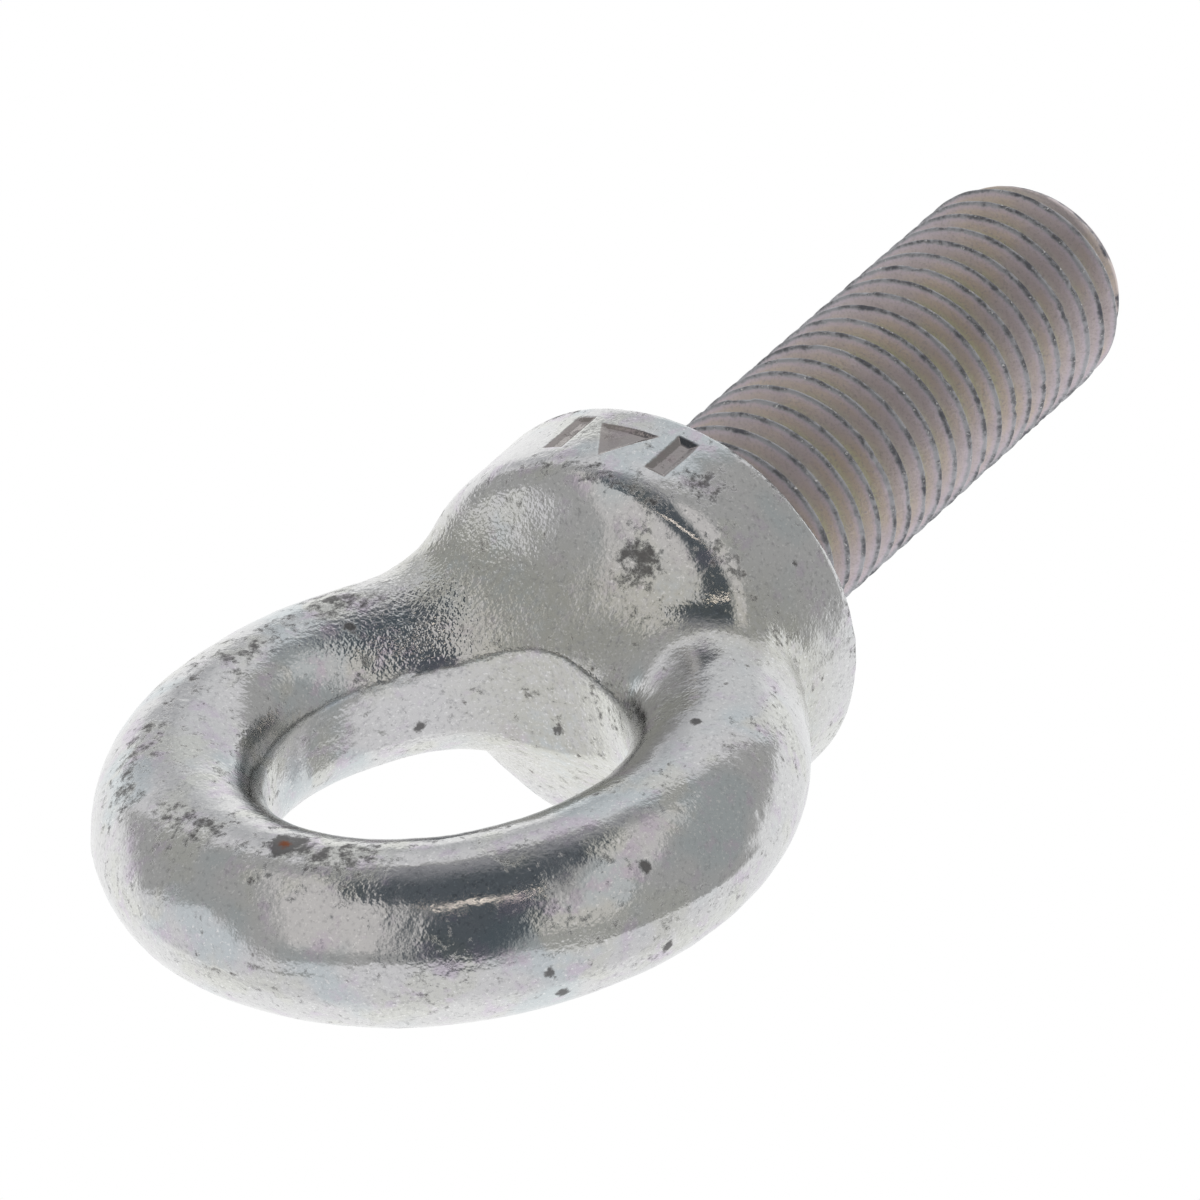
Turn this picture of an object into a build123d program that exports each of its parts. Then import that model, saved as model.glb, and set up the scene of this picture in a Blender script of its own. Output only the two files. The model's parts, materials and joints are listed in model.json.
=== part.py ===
from build123d import *
import os
from math import radians, tan

# Collar eye bolt, M24 x 3 coarse thread, one drop forging with a threaded shank.
# Frame: +Z runs up the bolt axis to the eye, the origin is the centre of the
# collar's seating face, the ring lies in the XZ plane and the eye looks along Y.

# Ring
EYE_CENTRE_Z = 40.0  # eye centre above the seating face
RING_MEAN_RADIUS = 26.4  # centre line of the ring's round bar
RING_SECTION_RADIUS = 9.0
EYE_RADIUS = 18.0  # flat band left inside the ring where the flash was trimmed

# Collar with a conical shoulder
COLLAR_RADIUS = 22.0
COLLAR_SIDE_HEIGHT = 13.2  # where the side would meet the shoulder if the edge were sharp
SHOULDER_SLOPE = 22.0  # degrees up from the seating face
SHOULDER_ROUND = 5.0  # rounding between side and shoulder
SHOULDER_TOP_RADIUS = 5.0
SEAT_EDGE_ROUND = 0.6

# Levels that divide the forging into its named regions
COLLAR_TOP_LEVEL = 9.5  # below the shoulder's rounding and the foot of the ring
NECK_TOP_LEVEL = 21.0  # just under the lowest point of the eye

# Shank and thread, right hand
MAJOR_RADIUS = 12.0
PITCH = 3.0
THREAD_DEPTH = 0.6134 * PITCH
MINOR_RADIUS = MAJOR_RADIUS - THREAD_DEPTH
CREST_FLAT = PITCH / 8
FLANK_ANGLE = 30.0  # each flank, from the plane across the axis
SHANK_LENGTH = 72.5
RELIEF_LENGTH = 6.0  # plain run-out under the collar
ROOT_ROUND = 1.5  # rounding between the relief and the seating face
ROOT_RADIUS = MINOR_RADIUS + ROOT_ROUND
ROOT_HEIGHT = 5.0  # how far up into the collar the shank's region reaches
TIP_CHAMFER_DEPTH = 1.9
TIP_CHAMFER_LENGTH = 3.2
RIDGE_OVERLAP = 0.08  # the helical ridge is let into its core by this much

# Generic recessed forging mark on the collar's side: a triangle between two bars
MARK_DEPTH = 0.35
MARK_CENTRE_X = -1.0
MARK_CENTRE_Z = 5.6
MARK_HEIGHT = 6.0
MARK_BAR_WIDTH = 1.8
MARK_BAR_OFFSET = 6.0

CLEARANCE = 4.0  # how far a cutting tool runs past what it cuts


def revolved(outline):
    """Solid of revolution about Z from points or edges given as radius and height."""
    return revolve(Plane.XZ * make_face(outline), Axis.Z)


def ring_and_hole():
    """Round bar bent into the eye, and the tool that leaves the flat band inside it."""
    eye_plane = Plane(origin=(0, 0, EYE_CENTRE_Z), z_dir=(0, 1, 0))
    bar = eye_plane * Torus(RING_MEAN_RADIUS, RING_SECTION_RADIUS)
    hole = eye_plane * Cylinder(EYE_RADIUS, 4 * RING_SECTION_RADIUS)
    return bar, hole


def collar_and_shoulder():
    """Round collar whose top rises as a cone to the underside of the eye."""
    rise = (COLLAR_RADIUS - SHOULDER_TOP_RADIUS) * tan(radians(SHOULDER_SLOPE))
    top = COLLAR_SIDE_HEIGHT + rise
    path = FilletPolyline(
        (0, 0),
        (COLLAR_RADIUS, 0),
        (COLLAR_RADIUS, COLLAR_SIDE_HEIGHT),
        (SHOULDER_TOP_RADIUS, top),
        (0, top),
        radius=(SEAT_EDGE_ROUND, SHOULDER_ROUND, 2 * SEAT_EDGE_ROUND),
    )
    return revolved(path + Line((0, top), (0, 0)))


def forging_mark():
    """Cutters for the generic mark, pressed in from the -Y side to an even depth."""
    centre = (MARK_CENTRE_X, -COLLAR_RADIUS, MARK_CENTRE_Z)
    face = Plane(origin=centre, x_dir=(1, 0, 0), z_dir=(0, -1, 0))
    sketch = Triangle(a=MARK_HEIGHT, b=MARK_HEIGHT, c=MARK_HEIGHT)
    for side in (-1, 1):
        sketch += Pos(side * MARK_BAR_OFFSET, 0) * Rectangle(MARK_BAR_WIDTH, MARK_HEIGHT)
    floor = Pos(0, 0, MARK_CENTRE_Z) * Cylinder(COLLAR_RADIUS - MARK_DEPTH, 2 * MARK_HEIGHT)
    return face * extrude(sketch, CLEARANCE, both=True) - floor


def slab(low, high):
    """Box that keeps everything between two levels."""
    size = 4 * RING_MEAN_RADIUS
    return Pos(0, 0, (low + high) / 2) * Box(size, size, high - low)


def shank_root():
    """The shank's own material inside the collar, which divides the two regions."""
    return Pos(0, 0, ROOT_HEIGHT / 2) * Cylinder(ROOT_RADIUS, ROOT_HEIGHT)


def head_regions():
    """Whole forged head, divided across the axis into collar, neck and eye."""
    bar, hole = ring_and_hole()
    head = bar + collar_and_shoulder() - hole
    collar = (head & slab(0, COLLAR_TOP_LEVEL)) - forging_mark() - shank_root()
    neck = head & slab(COLLAR_TOP_LEVEL, NECK_TOP_LEVEL)
    eye = head & slab(NECK_TOP_LEVEL, EYE_CENTRE_Z + 2 * RING_MEAN_RADIUS)
    return collar, neck, eye


def thread_ridge():
    """One long helical ridge of truncated V section, longer than needed at each end."""
    length = SHANK_LENGTH - RELIEF_LENGTH + PITCH
    base_radius = MINOR_RADIUS - RIDGE_OVERLAP
    half_crest = CREST_FLAT / 2
    half_base = half_crest + (MAJOR_RADIUS - base_radius) * tan(radians(FLANK_ANGLE))
    section = Plane.XZ * Polygon(
        (base_radius, -half_base),
        (MAJOR_RADIUS, -half_crest),
        (MAJOR_RADIUS, half_crest),
        (base_radius, half_base),
        align=None,
    )
    ridge = sweep(section, path=Helix(PITCH, length, MINOR_RADIUS), is_frenet=True)
    return Pos(0, 0, -SHANK_LENGTH - PITCH / 2) * ridge


def shank_core():
    """Plain core of the thread, rounded out into the seating face and rooted in the collar."""
    low = -SHANK_LENGTH - CLEARANCE
    outline = Polyline((0, low), (MINOR_RADIUS, low), (MINOR_RADIUS, -ROOT_ROUND))
    outline += JernArc((MINOR_RADIUS, -ROOT_ROUND), (0, 1), ROOT_ROUND, -90)
    outline += Polyline((ROOT_RADIUS, 0), (ROOT_RADIUS, ROOT_HEIGHT), (0, ROOT_HEIGHT), (0, low))
    return revolved(outline)


def tip_tool():
    """Everything beyond the chamfered tip."""
    tip = -SHANK_LENGTH
    slope = TIP_CHAMFER_LENGTH / TIP_CHAMFER_DEPTH
    outer = MAJOR_RADIUS + CLEARANCE
    end_radius = MAJOR_RADIUS - TIP_CHAMFER_DEPTH
    chamfer_top = tip + (outer - end_radius) * slope
    low = tip - 2 * CLEARANCE
    points = ((0, tip), (end_radius, tip), (outer, chamfer_top), (outer, low), (0, low))
    return revolved(Polyline(*points, close=True))


def relief_tool():
    """Sleeve that clears the thread under the collar and runs out at 45 degrees."""
    outer = MAJOR_RADIUS + CLEARANCE
    run_out = -RELIEF_LENGTH - (outer - MINOR_RADIUS)
    points = (
        (MINOR_RADIUS, -ROOT_ROUND),
        (MINOR_RADIUS, -RELIEF_LENGTH),
        (outer, run_out),
        (outer, -ROOT_ROUND),
    )
    return revolved(Polyline(*points, close=True))


def threaded_shank():
    """Core and helical ridge, cut back to the relief and the chamfered tip."""
    return shank_core() + thread_ridge() - relief_tool() - tip_tool()


def build():
    collar, neck, eye = head_regions()
    return {
        "collar": collar,
        "saddle_neck": neck,
        "eye_ring": eye,
        "threaded_shank": threaded_shank(),
    }


os.makedirs("parts", exist_ok=True)
for name, shape in build().items():
    export_step(shape, f"parts/{name}.step")
    box = shape.bounding_box()
    print(name, "valid", shape.is_valid, "solids", len(shape.solids()), "volume", round(shape.volume, 1))
    print("   from", box.min, "to", box.max)
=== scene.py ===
import itertools
import json
import math

import bmesh
import bpy
import numpy as np
from mathutils import Matrix, Vector


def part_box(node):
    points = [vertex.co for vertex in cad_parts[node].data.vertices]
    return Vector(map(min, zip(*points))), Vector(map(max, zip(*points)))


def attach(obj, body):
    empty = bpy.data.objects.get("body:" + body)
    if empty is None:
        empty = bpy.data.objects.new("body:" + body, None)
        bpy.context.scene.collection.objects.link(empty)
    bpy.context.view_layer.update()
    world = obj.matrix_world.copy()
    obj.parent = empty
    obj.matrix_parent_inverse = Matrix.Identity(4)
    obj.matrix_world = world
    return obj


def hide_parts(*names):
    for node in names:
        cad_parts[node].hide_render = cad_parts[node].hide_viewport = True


# Looks of a collar eye bolt: one zinc-plated drop forging, seen as four joined regions.
# The forged head is built as one smooth surface from a distance function in millimetres,
# then cut at the CAD's dividing levels, so that each CAD node has its own piece and no seam shows.

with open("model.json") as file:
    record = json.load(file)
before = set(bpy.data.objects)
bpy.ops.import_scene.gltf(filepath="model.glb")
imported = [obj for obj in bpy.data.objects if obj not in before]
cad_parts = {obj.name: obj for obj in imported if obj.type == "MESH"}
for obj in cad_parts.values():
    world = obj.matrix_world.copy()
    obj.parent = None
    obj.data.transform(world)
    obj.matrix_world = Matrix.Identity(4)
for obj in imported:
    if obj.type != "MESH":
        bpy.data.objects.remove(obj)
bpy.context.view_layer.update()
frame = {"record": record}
MM = 0.001

# ------------------------------------------------------------------ sizes, from the frame
def corners(node):
    """Lowest and highest corner of a CAD node, in millimetres."""
    return [np.array(corner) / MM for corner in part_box(node)]


eye_high = corners("eye_ring")[1]
neck_high = corners("saddle_neck")[1]
collar_high = corners("collar")[1]
shank_low, shank_high = corners("threaded_shank")
mounts = {m["name"]: m for m in frame["record"]["mounts"]}

EYE_Z = mounts["eye"]["pos_m"][2] / MM
EYE_RADIUS = mounts["eye"]["dims"]["r_mm"]
BAR_RADIUS = eye_high[1]
RING_RADIUS = eye_high[0] - BAR_RADIUS
COLLAR_RADIUS = collar_high[0]
NECK_LEVEL = neck_high[2]
COLLAR_LEVEL = collar_high[2]
TIP_Z = shank_low[2]
MAJOR = round(shank_high[0], 2)
PITCH = 3.0
MINOR = MAJOR - 0.6134 * PITCH  # depth of an ISO metric thread


# ------------------------------------------------------------------ distance functions
def smooth_min(a, b, k):
    """Lower of two distances, blended over k millimetres."""
    h = np.maximum(k - np.abs(a - b), 0) / k
    return np.minimum(a, b) - h ** 3 * k / 6


def smooth_max(a, b, k):
    return -smooth_min(-a, -b, k)


def step_up(value, low, high):
    """0 below low, 1 above high, smooth between."""
    t = np.clip((value - low) / (high - low), 0, 1)
    return t * t * (3 - 2 * t)


OVAL = 1.032  # the collar is this much wider along the parting plane than across it
ACROSS = COLLAR_RADIUS - 0.4  # so that the oval averages the CAD's round collar
SIDE_HEIGHT = 13.2  # where the collar's side would meet the shoulder if the edge were sharp
SLOPE = math.radians(22)
SHOULDER_BLEND = 4.5
FOOT_BLEND = 4.5
SADDLE_BLEND = 6.0  # added between the two levels below, where the ring runs out softly
SADDLE_LOW = 9
SADDLE_HIGH = 16
BAND_BLEND = 0.35
SEAT_BLEND = 1.2


def collar_distance(p):
    """Oval collar with a conical shoulder."""
    x, y, z = p
    r = np.hypot(x / OVAL, y)
    cone = math.sin(SLOPE) * (r - ACROSS) + math.cos(SLOPE) * (z - SIDE_HEIGHT)
    body = smooth_max(r - ACROSS, cone, SHOULDER_BLEND)
    return smooth_max(body, -z, SEAT_BLEND)


def ring_distance(p):
    """Round bar bent into a ring about the eye."""
    x, y, z = p
    return np.hypot(np.hypot(x, z - EYE_Z) - RING_RADIUS, y) - BAR_RADIUS


def head_distance(p):
    """Ring, collar and shoulder blended as one forging, with the flat band inside the eye."""
    x, y, z = p
    rho = np.hypot(x, z - EYE_Z)
    blend = FOOT_BLEND + SADDLE_BLEND * step_up(z, SADDLE_LOW, SADDLE_HIGH)
    body = smooth_min(collar_distance(p), ring_distance(p), blend)
    return smooth_max(body, EYE_RADIUS - rho, BAND_BLEND)


def shifted(p, axis, step):
    q = p.copy()
    q[axis] += step
    return q


def gradient(distance, p, step=0.08):
    """Direction in which the distance grows fastest, by central differences."""
    g = np.stack([distance(shifted(p, k, step)) - distance(shifted(p, k, -step)) for k in range(3)])
    return g / (2 * step)


def isosurface(distance, low, high, step):
    """Quads on distance = 0 by surface nets; head_mesh then moves each vertex onto the surface."""
    axes = [np.arange(low[k], high[k] + step, step) for k in range(3)]
    grid = np.stack(np.meshgrid(*axes, indexing="ij"))
    value = distance(grid).astype(np.float32)
    inside = value < 0
    shape = np.array(value.shape) - 1
    total = np.zeros((3, *shape), np.float32)
    count = np.zeros(shape, np.float32)
    for axis in range(3):
        a = [slice(None)] * 3
        b = [slice(None)] * 3
        a[axis] = slice(0, -1)
        b[axis] = slice(1, None)
        va, vb = value[tuple(a)], value[tuple(b)]
        cross = inside[tuple(a)] != inside[tuple(b)]
        t = np.where(cross, va / np.where(cross, va - vb, 1), 0)
        others = [k for k in range(3) if k != axis]
        for da in (0, 1):
            for db in (0, 1):
                cut = [slice(None)] * 3
                cut[others[0]] = slice(da, da + shape[others[0]])
                cut[others[1]] = slice(db, db + shape[others[1]])
                c = cross[tuple(cut)]
                total[axis] += np.where(c, t[tuple(cut)], 0)
                total[others[0]] += np.where(c, da, 0)
                total[others[1]] += np.where(c, db, 0)
                count += c
    used = count > 0
    index = np.full(shape, -1, np.int64)
    index[used] = np.arange(used.sum())
    cell = np.stack(np.nonzero(used)).astype(np.float64)
    points = np.stack([axes[k][0] + step * (cell[k] + total[k][used] / count[used]) for k in range(3)])
    quads = []
    for axis in range(3):
        b_, c_ = [(1, 2), (2, 0), (0, 1)][axis]
        a = [slice(None)] * 3
        b = [slice(None)] * 3
        a[axis] = slice(0, -1)
        b[axis] = slice(1, None)
        ia, ib = inside[tuple(a)], inside[tuple(b)]
        cross = ia != ib
        where = np.stack(np.nonzero(cross))
        keep = (where[b_] > 0) & (where[c_] > 0) & (where[b_] < shape[b_]) & (where[c_] < shape[c_])
        where = where[:, keep]
        flip = ib[tuple(where)]
        corners = []
        for db, dc in ((1, 1), (0, 1), (0, 0), (1, 0)):
            w = where.copy()
            w[b_] -= db
            w[c_] -= dc
            corners.append(index[tuple(w)])
        q = np.stack(corners, 1)
        q[flip] = q[flip][:, ::-1]
        quads.append(q)
    return points, np.concatenate(quads)


# ------------------------------------------------------------------ surface detail
LATTICE = 37  # cells after which the noise repeats


def value_noise(p, size, seed):
    """Smooth random field between -1 and 1, with features of the given size in millimetres."""
    lattice = np.random.default_rng(seed).uniform(-1, 1, (LATTICE, LATTICE, LATTICE))
    q = p / size
    cell = np.floor(q).astype(int)
    f = q - cell
    f = f * f * (3 - 2 * f)
    total = np.zeros(p.shape[1])
    for corner in itertools.product((0, 1), repeat=3):
        weight = np.ones(p.shape[1])
        for k in range(3):
            weight *= f[k] if corner[k] else 1 - f[k]
        total += weight * lattice[tuple((cell[k] + corner[k]) % LATTICE for k in range(3))]
    return total


MARK_X = -1.0
MARK_Z = 5.6
MARK_HEIGHT = 6.0
MARK_BAR = 1.8
MARK_OFFSET = 6.0
MARK_DEPTH = 0.35
FAR_OUTSIDE = -9.0
WAVES = ((0.075, 7.0, 11), (0.035, 2.6, 12), (0.014, 1.1, 13))  # height, size and seed
FLASH_WIDTH = 0.55
PIT_DEPTH = 0.10


def mark_inside(p):
    """How far inside the generic mark a point is: a triangle between two upright bars."""
    x, y, z = p
    x = x - MARK_X
    z = z - MARK_Z
    bars = np.minimum(MARK_BAR / 2 - np.abs(np.abs(x) - MARK_OFFSET), MARK_HEIGHT / 2 - np.abs(z))
    base = MARK_HEIGHT * math.sqrt(3) / 6  # an even-sided triangle about its own centre
    sides = (2 * base - z) / 2 - np.abs(x) * math.sqrt(3) / 2
    triangle = np.minimum(z + base, sides)
    inside = np.maximum(bars, triangle)
    return np.where(y < 0, inside, FAR_OUTSIDE)


def forging_relief(p):
    """Height of the as-forged surface above the ideal one, in millimetres."""
    x, y, z = p
    height = sum(rise * value_noise(p, size, seed) for rise, size, seed in WAVES)
    rho = np.hypot(x, z - EYE_Z)
    wander = 0.35 * value_noise(p, 9.0, 14)
    flash = np.exp(-(((y - wander) / FLASH_WIDTH) ** 2)) * (0.09 + 0.06 * value_noise(p, 4.0, 15))
    height += flash * step_up(rho, RING_RADIUS, RING_RADIUS + 4)
    pits = step_up(value_noise(p, 1.5, 16), 0.62, 0.85) * step_up(value_noise(p, 9.0, 17), -0.1, 0.5)
    height -= PIT_DEPTH * pits
    height -= MARK_DEPTH * step_up(mark_inside(p), -0.4, 0.5)
    return height


# ------------------------------------------------------------------ worn and stained places
# Clock hours run round the eye as seen from the front (-Y), 12 at the top; the bar's angle runs
# from its front crown (0) towards the outside (90) and the back (180).
def on_ring(hour, bar_angle):
    """Point on the ring's surface."""
    turn = math.radians(90 - 30 * hour)
    around = math.radians(bar_angle)
    rho = RING_RADIUS + BAR_RADIUS * math.sin(around)
    return rho * math.cos(turn), -BAR_RADIUS * math.cos(around), EYE_Z + rho * math.sin(turn)


def on_collar(turn, level):
    """Point near the collar's side, or its shoulder; turn is in degrees from the front towards +X."""
    around = math.radians(turn)
    climb = max(0, level - SIDE_HEIGHT + 3)  # the shoulder's edge is rounded from 3 mm lower
    out = ACROSS - climb / math.tan(SLOPE) / 2
    return OVAL * out * math.sin(around), -out * math.cos(around), level


def scattered(seed, count):
    """Small dark spots on the ring and on the collar beside the mark: place, radius and strength."""
    chance = np.random.default_rng(seed)
    spots = []
    for _ in range(count):
        hour, around, turn, level = chance.uniform((0, 0, 40, 1), (12, 360, 320, SIDE_HEIGHT))
        place = on_ring(hour, around) if chance.random() < 0.6 else on_collar(turn, level)
        spots.append((place, chance.uniform(0.8, 1.3), 1.8))
    return spots


# Each stain has a place, a radius in millimetres and a strength.
TOP_SCAR = on_ring(12, 0)
SHOULDER_SCAR = on_collar(-30, SIDE_HEIGHT + 1.5)
SIDE_SCAR = on_collar(-30, SIDE_HEIGHT / 2)
SCARS = [(TOP_SCAR, 3.5, 1.5), (SHOULDER_SCAR, 4.0, 1.1), (SIDE_SCAR, 4.5, 1.0)]
STAINS = SCARS + scattered(5, 26)
RUST = [(TOP_SCAR, 1.3, 1.2)]


def worn_crown(p):
    """How worn the two crowns of the ring are, from 4 o'clock anticlockwise to 11.

    The worn path keeps to the crown, except about half past one, where it swings outwards.
    """
    x, y, z = p
    rho = np.hypot(x, z - EYE_Z)
    turn = np.degrees(np.arctan2(z - EYE_Z, x))
    path = RING_RADIUS + 0.4 + 4.5 * np.exp(-(((turn - 48) / 20) ** 2))
    along = step_up(turn, -60, -35) * step_up(-turn, -125, -100)
    across = np.exp(-(((rho - path) / 2.8) ** 2)) * step_up(np.abs(y), 4, 6)
    return along * across * (0.75 + 0.5 * value_noise(p, 6.0, 18))


def worn_edges(p):
    """How worn the collar is along its lower edge and the shoulder's edge."""
    x, y, z = p
    out = step_up(np.hypot(x / OVAL, y), ACROSS - 3, ACROSS - 1)
    lower = np.exp(-((z / 1.3) ** 2))
    upper = 0.8 * np.exp(-(((z - SIDE_HEIGHT + 1.5) / 1.4) ** 2))
    return out * np.maximum(lower, upper) * (0.7 + 0.6 * value_noise(p, 4.0, 19))


def stained(p, places):
    """How stained each point is: highest at the given places, 0 away from them."""
    most = np.zeros(p.shape[1])
    for place, radius, strength in places:
        away = np.sqrt(((p - np.reshape(place, (3, 1))) ** 2).sum(0))
        most = np.maximum(most, strength * step_up(radius - away, 0, radius))
    return most


def hollows(p):
    """Where ring and shoulder run into each other: 1 there, 0 away from it."""
    return step_up(-np.abs(collar_distance(p) - ring_distance(p)), -9, -1)


def coarse_grain(p):
    """Coarser blasting in the eye's lower corners, most on the +X side, and a little in the hollows."""
    x, y, z = p
    rho = np.hypot(x, z - EYE_Z)
    from_bottom = np.degrees(np.arctan2(np.abs(x), EYE_Z - z))
    across = step_up(rho, EYE_RADIUS + 0.1, EYE_RADIUS + 0.6) * step_up(RING_RADIUS + 6 - rho, 0, 8)
    corner = np.exp(-(((from_bottom - 40) / 24) ** 2)) * across
    return step_up(x, -6, 6) * 3.6 * corner + 0.4 * hollows(p)


# ------------------------------------------------------------------ meshes
HEAD_LOW = (-37.0, -23.5, -1.2)  # a box round the head, with a little room
HEAD_HIGH = (37.0, 23.5, 76.8)
CELL = 0.4
NEWTON_STEPS = 3


def near_mark(place):
    """Whether a point is on the front of the collar round the mark, where the mesh is made finer."""
    return place.y < -12 and abs(place.x) < 9.5 and 1 < place.z < 10


def head_mesh():
    """The whole forged head as one bmesh, with its smooth normals and its looks in vertex layers."""
    points, quads = isosurface(head_distance, HEAD_LOW, HEAD_HIGH, CELL)
    mesh = bpy.data.meshes.new("head")
    mesh.from_pydata(points.T.tolist(), [], quads.tolist())
    bm = bmesh.new()
    bm.from_mesh(mesh)
    coarse = [e for e in bm.edges if all(near_mark(v.co) for v in e.verts)]
    bmesh.ops.subdivide_edges(bm, edges=coarse, cuts=2, use_grid_fill=True)
    p = np.array([v.co for v in bm.verts]).T
    for _ in range(NEWTON_STEPS):
        g = gradient(head_distance, p)
        p = p - head_distance(p) * g / (g ** 2).sum(0)
    g = gradient(head_distance, p)
    p = p + forging_relief(p) * g / np.sqrt((g ** 2).sum(0))
    for vertex, place in zip(bm.verts, p.T * MM):
        vertex.co = place
    bm.normal_update()
    layer = bm.verts.layers.float_vector.new("smooth")
    for vertex in bm.verts:
        vertex[layer] = vertex.normal
    looks = {
        # On the head the soot value holds only stains and wear.
        "soot_and_tip_shade": np.maximum.reduce([stained(p, STAINS), 0.5 * worn_crown(p), 0.62 * worn_edges(p)]),
        "rust": stained(p, RUST),
        "grainy": coarse_grain(p),
        "olive": 0.9 * hollows(p),
        "stamp": step_up(mark_inside(p), -0.45, -0.05),
    }
    for name, values in looks.items():
        look = bm.verts.layers.float.new(name)
        for vertex, value in zip(bm.verts, values):
            vertex[look] = value
    return bm


def band_piece(name, whole, low, high):
    """The part of the head between two levels, closed with flat caps, as one object."""
    bm = whole.copy()
    for level, keeps_above in ((low, True), (high, False)):
        if level is None:
            continue
        cut = bmesh.ops.bisect_plane(
            bm,
            geom=[*bm.verts, *bm.edges, *bm.faces],
            dist=1e-7,
            plane_co=(0, 0, level * MM),
            plane_no=(0, 0, 1),
            clear_inner=keeps_above,
            clear_outer=not keeps_above,
        )
        rim = [e for e in cut["geom_cut"] if isinstance(e, bmesh.types.BMEdge)]
        caps = bmesh.ops.edgeloop_fill(bm, edges=rim)["faces"]
        for cap in caps:
            cap.material_index = 1
    bmesh.ops.recalc_face_normals(bm, faces=bm.faces)
    layer = bm.verts.layers.float_vector["smooth"]
    normals = []
    for face in bm.faces:
        for loop in face.loops:
            normals.append(face.normal if face.material_index else loop.vert[layer].normalized())
        face.smooth = True
        face.material_index = 0
    mesh = bpy.data.meshes.new(name)
    bm.to_mesh(mesh)
    bm.free()
    mesh.normals_split_custom_set(normals)
    return placed(name, mesh)


def placed(name, mesh):
    piece = bpy.data.objects.new(name, mesh)
    bpy.context.scene.collection.objects.link(piece)
    return piece


RELIEF = 6.0  # plain run-out under the collar
ROOT_ROUND = 1.5  # rounding between the relief and the seating face
TIP_DEPTH = 1.9
TIP_LENGTH = 3.2
CREST = PITCH / 8
START = 0.36  # where the thread starts, in turns
CREST_BLEND = 0.35
GROOVE_BLEND = 0.8
TIP_BLEND = 1.6
RUN_OUT_BLEND = 0.3
TURN_STEPS = 240
PROFILE_STEPS = 20


def thread_radius(phase):
    """Radius of a rolled thread, with rounded crest and root; phase 0 is mid-crest, in pitches."""
    away = np.abs(phase - np.round(phase)) * PITCH
    flank = MAJOR - (away - CREST / 2) / math.tan(math.radians(30))
    return smooth_max(smooth_min(flank, MAJOR, CREST_BLEND), MINOR, GROOVE_BLEND)


def thread_piece(name):
    """Threaded shank as a grid that follows the helix, closed at both ends."""
    top = shank_high[2]
    rows = int(((top - TIP_Z) / PITCH + 2) * PROFILE_STEPS)
    turn, row = np.meshgrid(np.arange(TURN_STEPS), np.arange(rows), indexing="ij")
    angle = 2 * np.pi * turn / TURN_STEPS
    z = TIP_Z - PITCH + (row / PROFILE_STEPS + turn / TURN_STEPS) * PITCH
    z = np.clip(z, TIP_Z, top)
    r = thread_radius((z - TIP_Z) / PITCH - angle / (2 * np.pi) + START)
    r = smooth_min(r, MAJOR - TIP_DEPTH + (z - TIP_Z) * TIP_DEPTH / TIP_LENGTH, TIP_BLEND)
    r = smooth_min(r, MINOR + np.maximum(-RELIEF - z, 0), RUN_OUT_BLEND)
    rise = np.clip(z + ROOT_ROUND, 0, ROOT_ROUND)
    r = r + ROOT_ROUND - np.sqrt(ROOT_ROUND ** 2 - rise ** 2)
    p = np.stack([r * np.cos(angle), r * np.sin(angle), z]).reshape(3, -1)
    height = ((r - MINOR) / (MAJOR - MINOR)).reshape(-1)
    nicks = step_up(value_noise(p, 1.7, 23), 0.55, 0.85) * step_up(height, 0.8, 1.0)
    wear = 0.03 * value_noise(p, 2.2, 21) + 0.02 * value_noise(p, 0.8, 22) - 0.22 * nicks
    wear *= step_up(-p[2], 0, 1) * step_up(p[2] - TIP_Z, 0, 0.4)
    p[:2] *= 1 + wear / np.hypot(p[0], p[1])
    quads = []
    for i in range(TURN_STEPS):
        j = (i + 1) % TURN_STEPS
        shift = PROFILE_STEPS if j == 0 else 0
        for k in range(rows - 1 - shift):
            here, there = i * rows + k, j * rows + k + shift
            quads.append((here, there, there + 1, here + 1))
    mesh = bpy.data.meshes.new(name)
    mesh.from_pydata((p.T * MM).tolist(), [], quads)
    above_tip = p[2] - TIP_Z
    # Painted shade: the soot value on the shank is a dark reflection painted in blotches round the tip's
    # chamfer.
    chamfer_shade = step_up(2.2 - above_tip, 0, 1.8) * step_up(above_tip, 0, 0.4)
    looks = {
        "height": np.maximum(height, 0.65 * step_up(3.0 - above_tip, 0, 2.0)),
        "soot_and_tip_shade": chamfer_shade * (1.3 + 0.6 * value_noise(p, 6.0, 24)),
    }
    for look, values in looks.items():
        attribute = mesh.attributes.new(look, "FLOAT", "POINT")
        attribute.data.foreach_set("value", values.astype(np.float32))
    bm = bmesh.new()
    bm.from_mesh(mesh)
    bmesh.ops.remove_doubles(bm, verts=bm.verts, dist=2e-6)
    rims = [e for e in bm.edges if e.is_boundary]
    bmesh.ops.holes_fill(bm, edges=rims, sides=0)
    bmesh.ops.recalc_face_normals(bm, faces=bm.faces)
    bm.to_mesh(mesh)
    bm.free()
    mesh.shade_smooth()
    mesh.set_sharp_from_angle(angle=math.radians(50))
    return placed(name, mesh)


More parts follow.
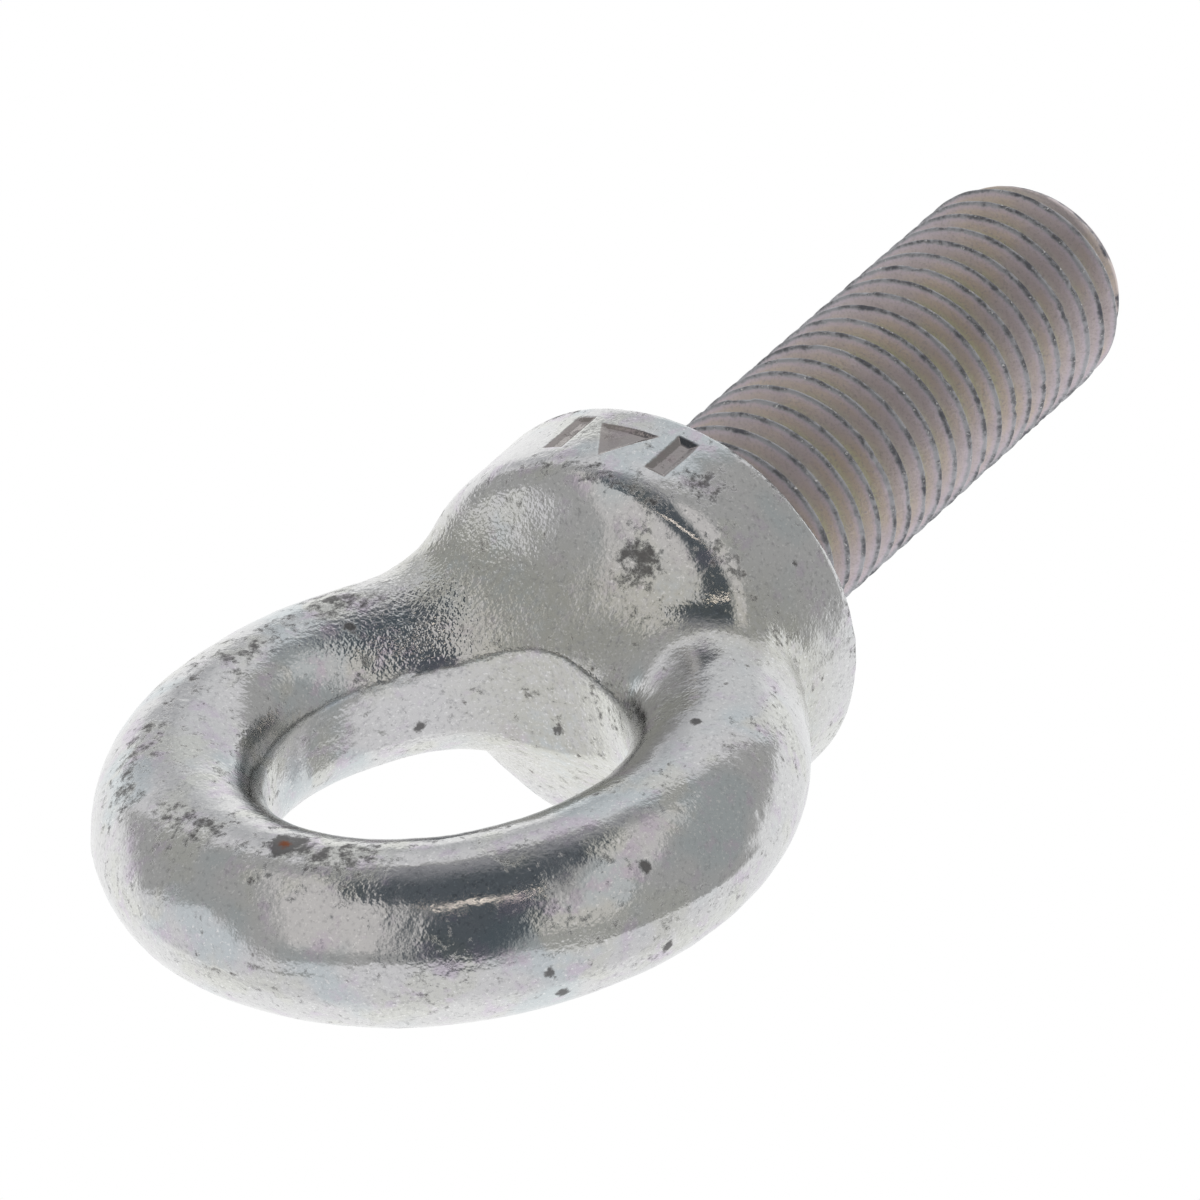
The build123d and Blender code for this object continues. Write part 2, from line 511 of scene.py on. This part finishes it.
# ------------------------------------------------------------------ shaders
class Shader:
    """Short names for the nodes used below. A value may be a number, a colour or another node's output."""

    def __init__(self, tree):
        self.tree = tree
        tree.nodes.clear()

    def node(self, kind, values, **settings):
        made = self.tree.nodes.new("ShaderNode" + kind)
        for key, value in settings.items():
            setattr(made, key, value)
        for key, value in values.items():
            if isinstance(value, bpy.types.NodeSocket):
                self.tree.links.new(value, made.inputs[key])
            else:
                made.inputs[key].default_value = value
        return made

    def math(self, operation, a, b=0.0):
        return self.node("Math", {0: a, 1: b}, operation=operation).outputs[0]

    def step(self, value, low, high, start=0.0, end=1.0):
        values = {0: value, 1: low, 2: high, 3: start, 4: end}
        return self.node("MapRange", values, interpolation_type="SMOOTHSTEP").outputs[0]

    def mix(self, factor, a, b):
        values = {0: factor, 6: a, 7: b}
        return self.node("Mix", values, data_type="RGBA").outputs[2]

    def blend(self, factor, a, b):
        return self.node("Mix", {0: factor, 2: a, 3: b}, data_type="FLOAT").outputs[0]

    def noise(self, place, size, detail=2.0, roughness=0.5):
        values = {"Vector": place, "Scale": 1 / size, "Detail": detail, "Roughness": roughness}
        return self.node("TexNoise", values).outputs[0]

    def shift(self, value, change):
        """A number or a node's output, plus a number."""
        if isinstance(value, (int, float)):
            return value + change
        return self.math("ADD", value, change)

    def window(self, value, low, high, soft):
        """1 between low and high, 0 outside, with soft edges."""
        rising = self.step(value, self.shift(low, -soft), self.shift(low, soft))
        falling = self.step(value, self.shift(high, -soft), self.shift(high, soft), 1.0, 0.0)
        return self.math("MULTIPLY", rising, falling)

    def dot(self, vector, fixed):
        return self.node("VectorMath", {0: vector, 1: fixed}, operation="DOT_PRODUCT").outputs["Value"]

    def millimetres(self):
        place = self.node("TexCoord", {}).outputs["Object"]
        return self.node("VectorMath", {0: place, "Scale": 1000.0}, operation="SCALE").outputs[0]

    def attribute(self, name):
        return self.node("Attribute", {}, attribute_name=name).outputs["Fac"]


def material(name):
    made = bpy.data.materials.new(name)
    made.use_nodes = True
    return made, Shader(made.node_tree)


def zinc_forging():
    """Bright zinc over a blasted forging: fine grain, faint bloom, dark pits and worn patches."""
    made, s = material("zinc_forging")
    place = s.millimetres()
    broad = s.noise(place, 11.0, 2.0)
    drift = s.noise(place, 7.0, 3.0)
    patchy = s.noise(place, 3.2, 4.0, 0.6)
    ragged = s.noise(place, 1.2, 5.0, 0.7)
    mottle = s.noise(place, 0.55, 4.0, 0.7)
    grain = s.noise(place, 0.42, 1.0, 0.5)
    bloom = s.mix(s.step(broad, 0.38, 0.5), (0.62, 0.665, 0.68, 1), (0.70, 0.70, 0.70, 1))
    bloom = s.mix(s.step(drift, 0.52, 0.62), bloom, (0.69, 0.695, 0.66, 1))
    bloom = s.mix(s.step(patchy, 0.53, 0.68), bloom, (0.67, 0.62, 0.69, 1))
    # Darker olive tint where ring and shoulder run into each other.
    olive = s.math("MULTIPLY", s.attribute("olive"), s.step(ragged, 0.3, 0.6, 0.3, 1.0))
    bloom = s.mix(olive, bloom, (0.61, 0.61, 0.555, 1))
    grey = s.math("MULTIPLY", s.step(mottle, 0.5, 0.7), s.step(broad, 0.3, 0.6, 0.3, 0.6))
    bloom = s.mix(grey, bloom, (0.36, 0.36, 0.37, 1))
    # Painted sparkle: light specks in the colour stand in for glints off the grain.
    painted_sparkle = s.step(s.noise(place, 0.32, 2.0, 0.6), 0.56, 0.74, 0.0, 0.8)
    bloom = s.mix(painted_sparkle, bloom, (0.92, 0.92, 0.91, 1))
    dirt = s.math("ADD", ragged, s.math("MULTIPLY", s.attribute("soot_and_tip_shade"), 0.24))
    dirt = s.math("ADD", dirt, s.math("MULTIPLY", s.math("SUBTRACT", drift, 0.5), 0.35))
    dark = s.step(dirt, 0.58, 0.78)
    colour = s.mix(s.math("MULTIPLY", dark, 0.88), bloom, (0.155, 0.15, 0.15, 1))
    stamped = s.math("ADD", s.attribute("stamp"), s.math("SUBTRACT", mottle, 0.5))
    stamped = s.step(stamped, 0.2, 0.8, 0.0, 0.8)
    colour = s.mix(stamped, colour, (0.30, 0.26, 0.25, 1))
    rusty = s.math("ADD", s.attribute("rust"), s.math("MULTIPLY", s.math("SUBTRACT", ragged, 0.5), 2.4))
    rusty = s.step(rusty, 0.4, 1.2)
    colour = s.mix(rusty, colour, (0.30, 0.10, 0.04, 1))
    roughness = s.blend(s.step(patchy, 0.35, 0.7), 0.11, 0.2)
    roughness = s.math("MULTIPLY", roughness, s.step(s.attribute("grainy"), 0.0, 4.0, 1.0, 0.5))
    roughness = s.blend(dark, roughness, 0.5)
    zone = s.math("ADD", s.step(drift, 0.4, 0.62, 0.3, 1.0), s.attribute("grainy"))
    fine = s.node("Bump", {"Height": s.math("MULTIPLY", grain, zone), "Distance": 0.00004}).outputs[0]
    wavy = s.node("Bump", {"Height": ragged, "Distance": 0.000014, "Normal": fine}).outputs[0]
    sunk = s.node("Bump", {"Height": dark, "Distance": 0.00004, "Normal": wavy}, invert=True).outputs[0]
    values = {"Base Color": colour, "Metallic": 1.0, "Roughness": roughness, "Normal": sunk}
    s.node("OutputMaterial", {0: s.node("BsdfPrincipled", values).outputs[0]})
    return made


def zinc_thread():
    """Zinc over a rolled thread: brownish purple flanks, olive towards dull dark crests."""
    made, s = material("zinc_thread")
    place = s.millimetres()
    height = s.attribute("height")
    broad = s.noise(place, 10.0, 2.0)
    patchy = s.noise(place, 2.5, 4.0, 0.6)
    ragged = s.noise(place, 0.9, 5.0, 0.7)
    grain = s.noise(place, 0.3, 3.0, 0.6)
    wobble = s.math("SUBTRACT", ragged, 0.5)
    edge = s.math("ADD", height, s.math("MULTIPLY", wobble, 0.3))
    low = s.mix(s.step(edge, 0.15, 0.5), (0.70, 0.69, 0.53, 1), (0.71, 0.62, 0.54, 1))
    low = s.mix(s.step(edge, 0.55, 0.8), low, (0.70, 0.61, 0.65, 1))
    low = s.mix(s.step(broad, 0.42, 0.6, 0.0, 0.55), low, (0.69, 0.63, 0.69, 1))
    flank = s.mix(s.step(grain, 0.45, 0.8), low, (0.56, 0.51, 0.50, 1))
    colour = s.mix(s.step(edge, 0.76, 0.92), flank, (0.50, 0.505, 0.53, 1))
    short = s.noise(place, 0.6, 3.0, 0.6)
    broken = s.math("ADD", s.math("MULTIPLY", patchy, 0.6), s.math("MULTIPLY", short, 0.4))
    line = s.math("MULTIPLY", s.step(edge, 0.82, 0.96), s.step(broken, 0.44, 0.58, 0.1, 1.0))
    colour = s.mix(line, colour, (0.20, 0.20, 0.21, 1))
    # Painted glints: light specks near the crests stand in for highlights.
    glint = s.noise(place, 0.6, 4.0, 0.7)
    painted_glint = s.math("MULTIPLY", s.step(glint, 0.60, 0.68), s.step(height, 0.8, 0.92))
    colour = s.mix(painted_glint, colour, (0.8, 0.8, 0.8, 1))
    # Dark patches at the crests are wear; round the tip the soot value spreads them over the chamfer as
    # painted shade.
    tip_shade_and_patches = s.math("ADD", patchy, s.math("MULTIPLY", s.attribute("soot_and_tip_shade"), 0.2))
    worn = s.step(s.math("ADD", edge, s.attribute("soot_and_tip_shade")), 0.74, 0.92)
    colour = s.mix(s.math("MULTIPLY", s.step(tip_shade_and_patches, 0.56, 0.74), worn), colour, (0.14, 0.145, 0.17, 1))
    roughness = s.blend(s.step(patchy, 0.35, 0.7), 0.46, 0.56)
    fine = s.node("Bump", {"Height": grain, "Distance": 0.00005}).outputs[0]
    wavy = s.node("Bump", {"Height": ragged, "Distance": 0.00005, "Normal": fine}).outputs[0]
    values = {"Base Color": colour, "Metallic": 0.9, "Roughness": roughness, "Normal": wavy}
    s.node("OutputMaterial", {0: s.node("BsdfPrincipled", values).outputs[0]})
    return made


# ------------------------------------------------------------------ view and light
# The photograph's view: where the camera stands round the object, in metres and degrees.
AZIMUTH = math.radians(-47.55)
ELEVATION = math.radians(44.28)
ROLL = math.radians(-131.24)
DISTANCE = 1.00428
AIM = Vector((0.00574, -0.00067, 0.00388))

back = Vector((
    math.sin(AZIMUTH) * math.cos(ELEVATION),
    -math.cos(AZIMUTH) * math.cos(ELEVATION),
    math.sin(ELEVATION),
))
level_right = Vector((math.cos(AZIMUTH), math.sin(AZIMUTH), 0))
level_up = back.cross(level_right)
right = math.cos(ROLL) * level_right + math.sin(ROLL) * level_up
up = back.cross(right)


def add_camera():
    data = bpy.data.cameras.new("camera")
    data.sensor_width = 36.0
    data.lens = 300.0
    data.clip_end = 20.0
    camera = bpy.data.objects.new("camera", data)
    bpy.context.scene.collection.objects.link(camera)
    turn = Matrix((right, up, back)).transposed().to_4x4()
    camera.matrix_world = Matrix.Translation(AIM + DISTANCE * back) @ turn
    bpy.context.scene.camera = camera


# Directions in the light tent, as seen from the object: x to the right and y upwards, each
# the tangent of half the angle from the direction towards the camera.
STRIP_LOW = -0.19
STRIP_HIGH = 0.78
LEFT_STRIP = (-0.515, -0.19)
RIGHT_STRIP = (0.226, 0.476)
CRISP = 0.02
SOFT = 0.03


def add_studio():
    """Light tent with a grey opening on the camera's side, which holds two lit strips and a dark gap."""
    world = bpy.data.worlds.new("studio")
    bpy.context.scene.world = world
    world.use_nodes = True
    s = Shader(world.node_tree)
    way = s.node("TexCoord", {}).outputs["Generated"]
    spread = s.math("ADD", s.dot(way, back), 1.0)
    x = s.math("DIVIDE", s.dot(way, right), spread)
    y = s.math("DIVIDE", s.dot(way, up), spread)

    sag = s.math("MULTIPLY", s.math("MULTIPLY", x, x), -0.12)
    sill = s.math("ADD", sag, s.step(x, -0.84, -0.62, 0.22, -0.364))
    opening = s.math("MULTIPLY", s.window(x, -1.5, 1.4, 0.1), s.window(y, sill, 1.083, SOFT))
    strip_height = s.window(y, STRIP_LOW, STRIP_HIGH, CRISP)
    left_strip = s.math("MULTIPLY", s.window(x, *LEFT_STRIP, CRISP), strip_height)
    right_strip = s.math("MULTIPLY", s.window(x, *RIGHT_STRIP, CRISP), strip_height)
    lean = s.step(y, 0.2, 0.5, -0.16, -0.32)
    gap = s.math("MULTIPLY", s.window(x, lean, 0.16, CRISP), s.window(y, -0.33, 1.0, SOFT))
    lamp = s.math("MULTIPLY", s.window(x, -0.13, 0.13, CRISP), s.window(y, 0.262, 0.278, 0.004))
    near = s.math("MULTIPLY", s.window(x, -1.6, 1.2, 0.3), s.window(y, -1.2, 2.2, 0.3))
    depth = s.step(y, 0.55, 0.98)
    dark = s.mix(depth, (0.10, 0.115, 0.13, 1), (0.34, 0.34, 0.36, 1))
    high = s.mix(s.step(x, -0.5, 0.0), (0.53, 0.535, 0.55, 1), (0.70, 0.71, 0.72, 1))
    sky = s.mix(s.step(y, 1.1, 1.8), (0.78, 0.775, 0.79, 1), high)
    far = s.mix(s.step(x, 0.8, 1.6), (1.0, 1.0, 1.0, 1), (0.93, 0.935, 0.94, 1))
    light = s.mix(near, far, sky)
    light = s.mix(opening, light, (0.43, 0.43, 0.425, 1))
    light = s.mix(s.math("MAXIMUM", left_strip, right_strip), light, (0.68, 0.66, 0.65, 1))
    light = s.mix(gap, light, dark)
    light = s.mix(lamp, light, (2.6, 2.3, 2.0, 1))
    background = s.node("Background", {0: light, 1: 1.0})
    s.node("OutputWorld", {0: background.outputs[0]})


def add_floor():
    """Plain pale floor under the tip; it doesn't show in the metal, which reflects the light tent."""
    half = 3.0
    outline = [(-half, -half, 0), (half, -half, 0), (half, half, 0), (-half, half, 0)]
    mesh = bpy.data.meshes.new("floor")
    mesh.from_pydata(outline, [], [(0, 1, 2, 3)])
    floor = placed("floor", mesh)
    floor.location.z = TIP_Z * MM
    floor.visible_glossy = False
    made, s = material("floor")
    glow = s.node("Emission", {0: (1, 1, 1, 1), 1: 1.0})
    s.node("OutputMaterial", {0: glow.outputs[0]})
    floor.data.materials.append(made)


# ------------------------------------------------------------------ assembly
head = head_mesh()
pieces = {
    "collar": band_piece("collar_skin", head, None, COLLAR_LEVEL),
    "saddle_neck": band_piece("saddle_neck_skin", head, COLLAR_LEVEL, NECK_LEVEL),
    "eye_ring": band_piece("eye_ring_skin", head, NECK_LEVEL, None),
    "threaded_shank": thread_piece("threaded_shank_skin"),
}
head.free()
finishes = {"zinc_forging": zinc_forging(), "zinc_thread": zinc_thread()}
for node_name, piece in pieces.items():
    finish = "zinc_thread" if node_name == "threaded_shank" else "zinc_forging"
    piece.data.materials.append(finishes[finish])
    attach(piece, "root")
    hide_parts(node_name)

add_camera()
add_studio()
add_floor()
bpy.context.scene.view_settings.view_transform = "Standard"
